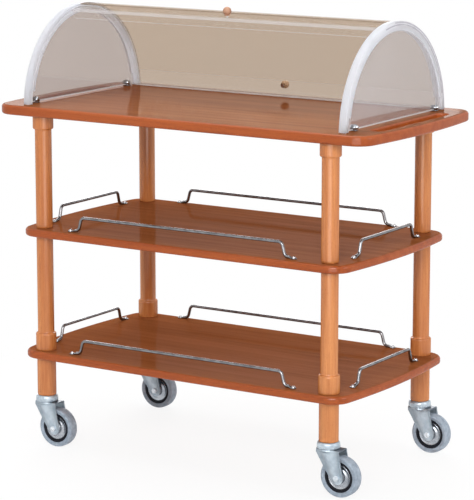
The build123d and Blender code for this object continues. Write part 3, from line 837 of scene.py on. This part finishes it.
def turned_pieces():
    """Posts with their collars and the legs below, one piece for each node."""
    for corner in CORNERS:
        for part in ("upper_post", "lower_post", "leg"):
            node = f"{part}_{corner}"
            low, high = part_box(node)
            height = (high.z - low.z) / MM
            if part == "upper_post":
                neck = [(POST_RADIUS + out, height - TOP_COLLAR + up) for out, up in SHOULDER]
                made = turned((POST_RADIUS, COLLAR_RADIUS), height, EASED_END, SQUARE_END, neck)
            elif part == "lower_post":
                neck = [(POST_RADIUS + out, FOOT_COLLAR - up) for out, up in reversed(SHOULDER)]
                made = turned((COLLAR_RADIUS, POST_RADIUS), height, SQUARE_END, EASED_END, neck)
            else:
                made = turned((LEG_RADIUS, LEG_RADIUS), height, EASED_END, SQUARE_END)
            place = (low + high) / 2
            turn(made, Matrix.Translation((place.x, place.y, low.z)))
            piece(f"turned_{node}", made, "turned_wood", FIXED, [node])


# Screws and clamps

SCREW_HEAD = [
    (0.0, 4.0),
    (0.5, 4.0),
    (1.4, 3.9),
    (2.4, 3.6),
    (3.4, 2.9),
    (4.1, 1.9),
    (4.5, 0.7),
    (4.5, 0.0),
    (0.0, 0.0),
]
# Cross recess: its reach, its depth, the height above which faces belong to it and half the angle of an arm
RECESS_REACH, RECESS_DEPTH, RECESS_FROM, RECESS_HALF_ARM = 2.0, 1.3, 3.2, 12.0
# Radians of twist for each metre of a screw's place along X and Y, so that no two recesses stand alike
SCREW_TWIST = (7, 3)
SCREW_STEPS, CLAMP_STEPS = 16, 40
# Clamp: half the gap for its panel, height of its middle, a cap's profile, the foot and the screw's height
CLAMP_HALF_GAP = 2.1
CLAMP_CENTRE = 8.0
CLAMP_CAP = [
    (0.0, 0.0),
    (7.4, 0.0),
    (8.0, 0.6),
    (8.0, 2.4),
    (7.6, 4.0),
    (6.6, 5.6),
    (5.0, 6.6),
    (2.6, 6.9),
    (0.0, 6.9),
]
CLAMP_FOOT = (18.0, 12.0, 2.9)
CLAMP_SCREW_HEIGHT = 9.0
CLAMP_EASING = 0.6


def screw_head():
    """A domed screw head on Z = 0 with a cross recess pressed into it."""
    bm = spun(SCREW_HEAD, SCREW_STEPS)
    cross = []
    for face in bm.faces:
        spot = face.calc_center_median()
        reach = math.hypot(spot.x, spot.y)
        quarter = math.degrees(math.atan2(spot.y, spot.x)) % 90.0
        central = spot.z > RECESS_FROM * MM and reach < RECESS_REACH * MM
        if central and min(quarter, 90.0 - quarter) < RECESS_HALF_ARM:
            cross.append(face)
    sunk = bmesh.ops.extrude_discrete_faces(bm, faces=cross)["faces"]
    for face in sunk:
        bmesh.ops.translate(bm, verts=face.verts, vec=(0, 0, -RECESS_DEPTH * MM))
    return bm


def rail_screw_heads():
    """The screws in the eyes of all rails."""
    heads = []
    head = screw_head()
    for level in LEVELS:
        for place in RAIL_PLACES:
            low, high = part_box(f"{level}_rail_{place}")
            middle, reach = (low + high) / 2, (high - low) / 2
            along = 0 if reach.x > reach.y else 1
            for side in (-1, 1):
                spot = Vector((middle.x, middle.y, low.z + EYE_PROFILE[-1][1] * MM))
                spot[along] += side * (reach[along] - EYE_RADIUS * MM)
                angle = spot.x * SCREW_TWIST[0] + spot.y * SCREW_TWIST[1]
                twist = Matrix.Rotation(angle, 4, "Z")
                heads.append(copied(head, Matrix.Translation(spot) @ twist))
    head.free()
    piece("rail_screw_heads", joined(heads), "screw_steel", FIXED, ["rail_screws"], sharp=35.0)


def panel_clamps():
    """Round chromed clamps that grip the foot of the end panels, with their screws."""
    clamps, screws = [], []
    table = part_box("panel_clamps")[0].z
    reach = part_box("panel_clamps")[1].y - CLAMP_CENTRE * MM
    for side, panel in ((-1, "left_end_panel"), (1, "right_end_panel")):
        middle = middle_of(panel)
        for end in (-1, 1):
            spot = Vector((middle.x, end * reach, table))
            for facing in (-1, 1):
                lift = Vector((facing * CLAMP_HALF_GAP * MM, 0, CLAMP_CENTRE * MM))
                cap = spun(CLAMP_CAP, CLAMP_STEPS)
                spin = ALONG_X if facing > 0 else ALONG_X.inverted()
                clamps.append(turn(cap, Matrix.Translation(spot + lift) @ spin))
            foot = bmesh.new()
            bmesh.ops.create_cube(foot, size=1.0)
            size = Matrix.Diagonal((*[length * MM for length in CLAMP_FOOT], 1.0))
            turn(foot, Matrix.Translation(spot + Vector((0, 0, CLAMP_FOOT[2] / 2 * MM))) @ size)
            clamps.append(soften(foot, CLAMP_EASING))
            seat = Vector((side * CLAMP_FOOT[0] / 2 * MM, 0, CLAMP_SCREW_HEIGHT * MM))
            spin = ALONG_X if side > 0 else ALONG_X.inverted()
            screws.append(turn(screw_head(), Matrix.Translation(spot + seat) @ spin))
    piece("chromed_clamps", joined(clamps), "chrome_clamp", FIXED, ["panel_clamps"], sharp=35.0)
    piece("clamp_screw_heads", joined(screws), "screw_steel", FIXED, ["clamp_screws"], sharp=35.0)


# Dome

ARCH_RADIUS = 246.53
# Depth of an arch's section at its foot, and the angle above the dome's axis where the rest of it ends
ARCH_FOOT = 14.0
FOOT_CUT_ANGLE = 10.2
# Section of an arch, as (distance from its outer face along X, distance from its outer radius)
ARCH_SECTION = [
    (-18.0, 0.0),
    (-1.5, 0.0),
    (0.0, -1.5),
    (0.0, -ARCH_FOOT),
    (0.0, -22.0),
    (-2.4, -22.0),
    (-2.4, -16.3),
    (-6.6, -16.3),
    (-6.6, -22.0),
    (-18.0, -22.0),
    (-18.0, -ARCH_FOOT),
    (-18.0, -11.0),
    (-10.0, -11.0),
    (-10.0, -6.7),
    (-18.0, -6.7),
    (-18.0, -5.1),
    (-10.0, -5.1),
    (-10.0, -0.8),
    (-18.0, -0.8),
]
ARCH_STEPS, ARCH_FOOT_STEPS = 160, 18
ARCH_EASING, ARCH_CREASE = 0.5, 35.0
# Sheet of a cover, and its lip's depth, radius of fold and distance from the cover's ends
SHEET = 3.5
LIP = 20.0
LIP_BEND = 6.0
LIP_INSET = 10.0
BEND_STEPS, LIP_FOLD_STEPS = 240, 8
# Margins by which faces are told to belong to a fold or to a lip
FOLD_MARGIN, LIP_MARGIN = 0.5, 1.0
# Distances from a track's outer face between which the end of a cover shows
BAND_NEAR, BAND_FAR = 0.1, 0.5
# Share of painted highlight on a cover's cut edges, along its fold, on its lip and on the lip's end
COVER_PAINTED_HIGHLIGHTS = {"front": (0.3, 0.3, 0.02, 0.7), "rear": (0.045, 0.045, 0.4, 0.7)}
# Outer radius, angle of the edge with the lip and angle of the other edge, up from the front of the table
COVERS = {"front": (239.43, 76.18, 168.0), "rear": (245.33, 177.72, 87.0)}
PANEL_SHEET = 4.0
PANEL_RADIUS = 230.03
PANEL_STEPS = 160
# Margins of an end panel with a painted highlight, where it sits in its arch and along its foot, and the
# highlight's share on each
PANEL_SEAT, PANEL_FOOT = 8.0, 2.5
SEAT_PAINTED_HIGHLIGHT, FOOT_PAINTED_HIGHLIGHT = 0.5, 0.6
# Radius of a knob's ball, and its profile from the cover up
KNOB_BALL = 10.5
KNOB_STEPS = 40
KNOB_PROFILE = [
    (0.0, 0.0),
    (7.2, 0.0),
    (7.5, 0.4),
    (7.4, 1.5),
    (6.9, 2.0),
    (6.4, 2.2),
    (6.5, 2.5),
    (8.0, 3.8),
    (9.4, 5.9),
    (10.3, 8.4),
    (10.5, 10.6),
    (10.2, 13.2),
    (9.3, 15.6),
    (7.6, 17.9),
    (5.3, 19.7),
    (2.7, 20.8),
    (0.0, 21.1),
]


def radius_of(vert):
    """Distance of a vertex from the X axis."""
    return math.hypot(vert.co.y, vert.co.z)


def half_arch(outer_x, table):
    """The right-hand arch round the X axis, from its crown down to its front foot on the table."""
    bm = bmesh.new()
    ring = [bm.verts.new((outer_x + x * MM, 0, (ARCH_RADIUS + r) * MM)) for x, r in ARCH_SECTION]
    edges = [bm.edges.new(pair) for pair in zip(ring, ring[1:] + ring[:1])]
    whole = {"cent": (0, 0, 0), "axis": (1, 0, 0)}
    main = math.radians(90.0 - FOOT_CUT_ANGLE)
    bend = bmesh.ops.spin(bm, geom=ring + edges, angle=main, steps=ARCH_STEPS, **whole)
    verts, edges = ends_of(bend["geom_last"])
    step = (ARCH_RADIUS - ARCH_FOOT) * MM
    corners = [v for v in verts if abs(radius_of(v) - step) < NEAR]
    across = bm.edges.new(corners)
    inner = [e for e in edges if all(radius_of(v) < step + NEAR for v in e.verts)]
    outer = [e for e in edges if e not in inner]
    bmesh.ops.edgenet_fill(bm, edges=inner + [across])
    foot = list({v for e in outer for v in e.verts})
    rest = math.radians(FOOT_CUT_ANGLE)
    bmesh.ops.spin(bm, geom=foot + outer + [across], angle=rest, steps=ARCH_FOOT_STEPS, **whole)
    sole = cut(bm, (0, 0, table), (0, 0, 1), cleared=True)
    bmesh.ops.edgenet_fill(bm, edges=sole)
    return bm


def track_arches():
    """Both arches, each mirrored from its front half, with eased edges."""
    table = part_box("right_track_arch")[0].z
    outer_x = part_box("right_track_arch")[1].x
    for name, side in (("left", -1), ("right", 1)):
        half = half_arch(outer_x, table - DOME_AXIS.z)
        other = copied(half, Matrix.Scale(-1, 4, (0, 1, 0)))
        arch = joined([half, other])
        bmesh.ops.remove_doubles(arch, verts=arch.verts, dist=MERGED)
        soften(arch, ARCH_EASING, limit=ARCH_CREASE)
        turn(arch, Matrix.Translation(DOME_AXIS) @ Matrix.Scale(side, 4, (1, 0, 0)))
        bmesh.ops.recalc_face_normals(arch, faces=arch.faces)
        piece(f"{name}_white_track", arch, "white_plastic", FIXED, [f"{name}_track_arch"], sharp=30.0)


def walled(bm, thickness, outward):
    """Give a sheet its thickness, away from the outward side, and mark its cut edges for a painted
    highlight.
    """
    bmesh.ops.recalc_face_normals(bm, faces=bm.faces)
    bm.faces.ensure_lookup_table()
    if bm.faces[0].normal.dot(outward) < 0:
        bmesh.ops.reverse_faces(bm, faces=bm.faces)
    skin = set(bm.verts)
    bmesh.ops.solidify(bm, geom=bm.faces[:], thickness=thickness * MM)
    bmesh.ops.recalc_face_normals(bm, faces=bm.faces)
    # Cut edges get the full painted highlight until a caller sets its share
    rim = bm.faces.layers.float.new("rim")
    for face in bm.faces:
        face[rim] = float(len({v in skin for v in face.verts}) == 2)
    return bm


def on_dome(angle, radius):
    """A point round the dome's axis, its angle in degrees up from the front of the table."""
    turned_up = math.radians(angle)
    return Vector((0, -radius * math.cos(turned_up), radius * math.sin(turned_up))) * MM


def paint_edge_highlights(bm, radius, heel_at, glow):
    """Turn the marks of a cover's cut edges into shares of painted highlight, and give its fold and lip
    theirs.
    """
    edge_highlight, fold_highlight, lip_highlight, lip_end_highlight = glow
    rim = bm.faces.layers.float["rim"]
    for face in bm.faces:
        middle = face.calc_center_median()
        depth = radius - math.hypot(*middle.yz) / MM
        folded = (middle.yz - heel_at.yz).length < (LIP_BEND + FOLD_MARGIN) * MM
        if depth > SHEET + LIP - LIP_MARGIN:
            face[rim] = lip_end_highlight
        elif depth > LIP_BEND + LIP_MARGIN:
            face[rim] = lip_highlight
        else:
            face[rim] = max(edge_highlight * face[rim], fold_highlight * folded)


def bent_cover(reach, radius, edge, far, glow):
    """A sheet bent round the dome's axis between two angles, its lower edge turned in to a lip."""
    sense = 1 if far > edge else -1
    bm = bmesh.new()
    stops = (-reach, LIP_INSET * MM - reach, reach - LIP_INSET * MM, reach)
    row = [bm.verts.new((x, *on_dome(far, radius).yz)) for x in stops]
    edges = [bm.edges.new(pair) for pair in zip(row, row[1:])]
    heel = radius - LIP_BEND
    lean = math.asin(LIP_BEND / heel)
    sweep = {"cent": (0, 0, 0), "angle": sense * (math.radians(abs(far - edge)) - lean)}
    bend = bmesh.ops.spin(bm, geom=row + edges, axis=(1, 0, 0), steps=BEND_STEPS, **sweep)
    last = ends_of(bend["geom_last"])[1]
    middle = [e for e in last if abs(sum(v.co.x for v in e.verts)) < MERGED]
    corner = list(middle[0].verts) + middle
    heel_at = on_dome(edge + sense * math.degrees(lean), heel)
    fold = {"cent": heel_at, "angle": sense * (math.pi / 2 + lean)}
    bend = bmesh.ops.spin(bm, geom=corner, axis=(1, 0, 0), steps=LIP_FOLD_STEPS, **fold)
    run = math.sqrt(heel**2 - LIP_BEND**2) - (radius - SHEET - LIP)
    wire_run(bm, ends_of(bend["geom_last"])[1], -on_dome(edge, run))
    walled(bm, SHEET, on_dome(far, radius))
    # Painted highlights on the cut edges, the fold, the lip and the lip's end
    paint_edge_highlights(bm, radius, heel_at, glow)
    return turn(bm, Matrix.Translation(DOME_AXIS))


def edge_bands(outer_x, radius, edge, far):
    """The ends of a cover as they show on the outer faces of the tracks: two thin arcs."""
    bands = []
    for side in (-1, 1):
        bm = bmesh.new()
        inner = radius - SHEET
        corners = ((BAND_NEAR, radius), (BAND_FAR, radius), (BAND_FAR, inner), (BAND_NEAR, inner))
        ring = [bm.verts.new((side * (outer_x + out * MM), *on_dome(far, r).yz)) for out, r in corners]
        edges = [bm.edges.new(pair) for pair in zip(ring, ring[1:] + ring[:1])]
        bmesh.ops.edgenet_fill(bm, edges=edges)
        sweep = {"cent": (0, 0, 0), "axis": (1, 0, 0), "angle": math.radians(far - edge)}
        last = bmesh.ops.spin(bm, geom=ring + edges, steps=BEND_STEPS, **sweep)["geom_last"]
        bmesh.ops.edgenet_fill(bm, edges=ends_of(last)[1])
        bmesh.ops.recalc_face_normals(bm, faces=bm.faces)
        bands.append(turn(bm, Matrix.Translation(DOME_AXIS)))
    return joined(bands)


def dome_covers():
    """Both covers as they stand in the photograph: the front one rolled back under the rear one."""
    outer_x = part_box("right_track_arch")[1].x
    for name, (radius, edge, far) in COVERS.items():
        body = f"{name}_cover"
        sheet = bent_cover(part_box(body)[1].x, radius, edge, far, COVER_PAINTED_HIGHLIGHTS[name])
        made = piece(f"{name}_bent_cover", sheet, "tinted_cover", body, [body], sharp=30.0)
        made.data.materials[0] = COVER_ACRYLIC[name]
        arcs = edge_bands(outer_x, radius, edge, far)
        bands = piece(f"{name}_cover_edge_bands", arcs, "tinted_cover", body)
        bands.data.materials[0] = EDGE_ACRYLIC


def end_panels():
    """Flat half-round sheets in the arches, standing a little above the table."""
    for name in ("left", "right"):
        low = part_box(f"{name}_end_panel")[0]
        bm = bmesh.new()
        face_on = Matrix.Translation((low.x, DOME_AXIS.y, DOME_AXIS.z)) @ ALONG_X
        disc = {"segments": PANEL_STEPS, "radius": PANEL_RADIUS * MM, "matrix": face_on}
        bmesh.ops.create_circle(bm, cap_ends=True, **disc)
        bmesh.ops.inset_individual(bm, faces=bm.faces[:], thickness=PANEL_SEAT * MM)
        for height, cleared in ((low.z, True), (low.z + PANEL_FOOT * MM, False)):
            cut(bm, (0, 0, height), (0, 0, 1), cleared)
        walled(bm, PANEL_SHEET, Vector((-1, 0, 0)))
        # Painted highlight on the seat in the arch and along the foot, over that of the cut edges
        rim = bm.faces.layers.float["rim"]
        for face in bm.faces:
            middle = face.calc_center_median()
            seated = math.hypot(*(middle - DOME_AXIS).yz) > (PANEL_RADIUS - PANEL_SEAT) * MM
            standing = middle.z < low.z + PANEL_FOOT * MM
            face[rim] = max(face[rim], SEAT_PAINTED_HIGHLIGHT * seated, FOOT_PAINTED_HIGHLIGHT * standing)
        made = piece(f"{name}_clear_panel", bm, "clear_panel", FIXED, [f"{name}_end_panel"], sharp=30.0)
        made.data.materials[0] = PANEL_ACRYLIC[name]


def ball_knobs():
    """Turned knobs, each standing square on its cover."""
    for place in ("front", "rear"):
        low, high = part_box(f"{place}_knob")
        ball = (low + high) / 2
        outward = ball - DOME_AXIS
        main = 2 if outward.z > abs(outward.y) else 1
        ball[main] = high[main] - KNOB_BALL * MM
        outward = ball - DOME_AXIS
        spin = outward.to_track_quat("Z", "X").to_matrix().to_4x4()
        base = ball - outward.normalized() * (KNOB_PROFILE[-1][1] - KNOB_BALL) * MM
        knob = turn(spun(KNOB_PROFILE, KNOB_STEPS), Matrix.Translation(base) @ spin)
        body = f"{place}_cover"
        made = piece(f"{place}_ball_knob", knob, "pale_wood", body, [f"{place}_knob"], sharp=50.0)
        made.data.materials[0] = KNOB_WOOD[place]


# Finish of the CAD nodes


def dress_cad_nodes():
    """Give every CAD node the finish of its slot in the record."""
    slot_of = {part["node"]: part["material_slot"] for part in frame["record"]["subparts"]}
    for name, obj in nodes.items():
        for holder in obj.material_slots:
            holder.material = TABLE_WOOD if name == "top_shelf" else FINISHES[slot_of[name]]


# Floor, light and camera

FLOOR_REACH = 40.0
PAPER_CLOUDS = 40.0
# Distances between which the floor fades from its shadow to plain white, and the share of white at the first
FADE_FROM, FADE_TO, FADE_SHARE = 0.35, 1.2, 0.88
AMBIENT = 0.52
# Softboxes, as name, place, size, power in watts, spread of the grid in degrees and height of the aim
OPEN, TROLLEY_MIDDLE = 180.0, 0.55
SOFTBOXES = [
    ("key_softbox", (2.2, -4.6, 3.2), (3.0, 2.4), 24.0, 55.0, 1.15),
    ("overhead_softbox", (-0.6, 0.4, 4.2), (3.5, 3.0), 90.0, OPEN, TROLLEY_MIDDLE),
    ("side_softbox", (4.4, 0.2, 1.8), (2.0, 2.4), 45.0, OPEN, TROLLEY_MIDDLE),
    ("rear_softbox", (-2.6, 3.8, 2.4), (2.4, 2.0), 85.0, OPEN, TROLLEY_MIDDLE),
]
REFLECTION_STRIP = ("reflection_strip", (0.86, -1.35, 0.70), (1.0, 0.97), 8.2, OPEN, 0.70)
# Viewpoint of the photograph: lens in millimetres, place in metres, dip and heading in degrees
SENSOR_WIDTH, FOCAL_LENGTH = 36.0, 175.31
VIEWPOINT = (3.2393, -5.0902, 1.7030)
VIEW_DIP, VIEW_HEADING = 11.145, 32.366


def white_where_seen(f):
    """1 for rays from the camera, a mirror or glass; 0 for light that falls on matt surfaces."""
    camera = f.add("LightPath", out="Is Camera Ray")
    glossy = f.add("LightPath", out="Is Glossy Ray")
    through = f.add("LightPath", out="Is Transmission Ray")
    return f.add("Math", {"operation": "ADD", "use_clamp": True}, {0: camera + glossy, 1: through})


def studio_floor():
    """A pale floor that keeps the shadow near the trolley and runs out to plain white."""
    bm = bmesh.new()
    bmesh.ops.create_grid(bm, x_segments=1, y_segments=1, size=FLOOR_REACH)
    mesh = bpy.data.meshes.new("studio_floor")
    bm.to_mesh(mesh)
    bm.free()
    material, f = finish_called("studio_floor")
    away = f.add("VectorMath", {"operation": "LENGTH"}, {0: f.place()}, out="Value")
    far = f.ease(away, FADE_FROM, FADE_TO, FADE_SHARE, 1.0)
    paper_tone = f.noise(PAPER_CLOUDS, 2.0)
    pale = f.blend(paper_tone, shade(247, 247, 248), shade(251, 251, 251))
    paper = f.add("BsdfDiffuse", None, {"Color": pale})
    white = f.add("Emission", None, {"Color": WHITE, "Strength": 1.0})
    f.show(f.mix(white_where_seen(f) * far, paper, white))
    mesh.materials.append(material)
    floor = bpy.data.objects.new("studio_floor", mesh)
    scene.collection.objects.link(floor)


def studio_world():
    """Even light from all round, in front of plain white."""
    world = bpy.data.worlds.new("studio")
    scene.world = world
    f = Finish(world)
    ambient = f.add("Background", None, {"Color": WHITE, "Strength": AMBIENT})
    white = f.add("Background", None, {"Color": WHITE, "Strength": 1.0})
    f.add("OutputWorld", None, {0: f.mix(white_where_seen(f), ambient, white)})


def softbox(name, place, size, power, spread, height):
    """A large area lamp aimed at a height above the floor, its grid narrowing it to a spread in degrees."""
    lamp = bpy.data.lights.new(name, "AREA")
    lamp.shape = "RECTANGLE"
    lamp.size, lamp.size_y = size
    lamp.energy = power
    lamp.spread = math.radians(spread)
    made = bpy.data.objects.new(name, lamp)
    made.location = place
    aim = Vector((0.0, 0.0, height)) - made.location
    made.rotation_euler = aim.to_track_quat("-Z", "Y").to_euler()
    scene.collection.objects.link(made)
    return made


def reflection_strip():
    """A tall card in front that shows only as a soft upright gleam on glossy round pieces."""
    card = softbox(*REFLECTION_STRIP)
    card.visible_camera = False
    card.visible_diffuse = False


def photo_camera():
    """The photograph's viewpoint: from the front right, a little above the table."""
    lens = bpy.data.cameras.new("camera")
    lens.sensor_width = SENSOR_WIDTH
    lens.lens = FOCAL_LENGTH
    camera = bpy.data.objects.new("camera", lens)
    camera.location = VIEWPOINT
    camera.rotation_euler = (math.radians(90.0 - VIEW_DIP), 0.0, math.radians(VIEW_HEADING))
    scene.collection.objects.link(camera)
    scene.camera = camera


def studio():
    """Floor, light and camera."""
    studio_floor()
    studio_world()
    for lamp in SOFTBOXES:
        softbox(*lamp)
    reflection_strip()
    photo_camera()
    scene.view_settings.view_transform = "Standard"


# All together

dress_cad_nodes()
wheel_pieces()
fork_pieces()
gallery_rails()
turned_pieces()
rail_screw_heads()
panel_clamps()
track_arches()
dome_covers()
end_panels()
ball_knobs()
studio()
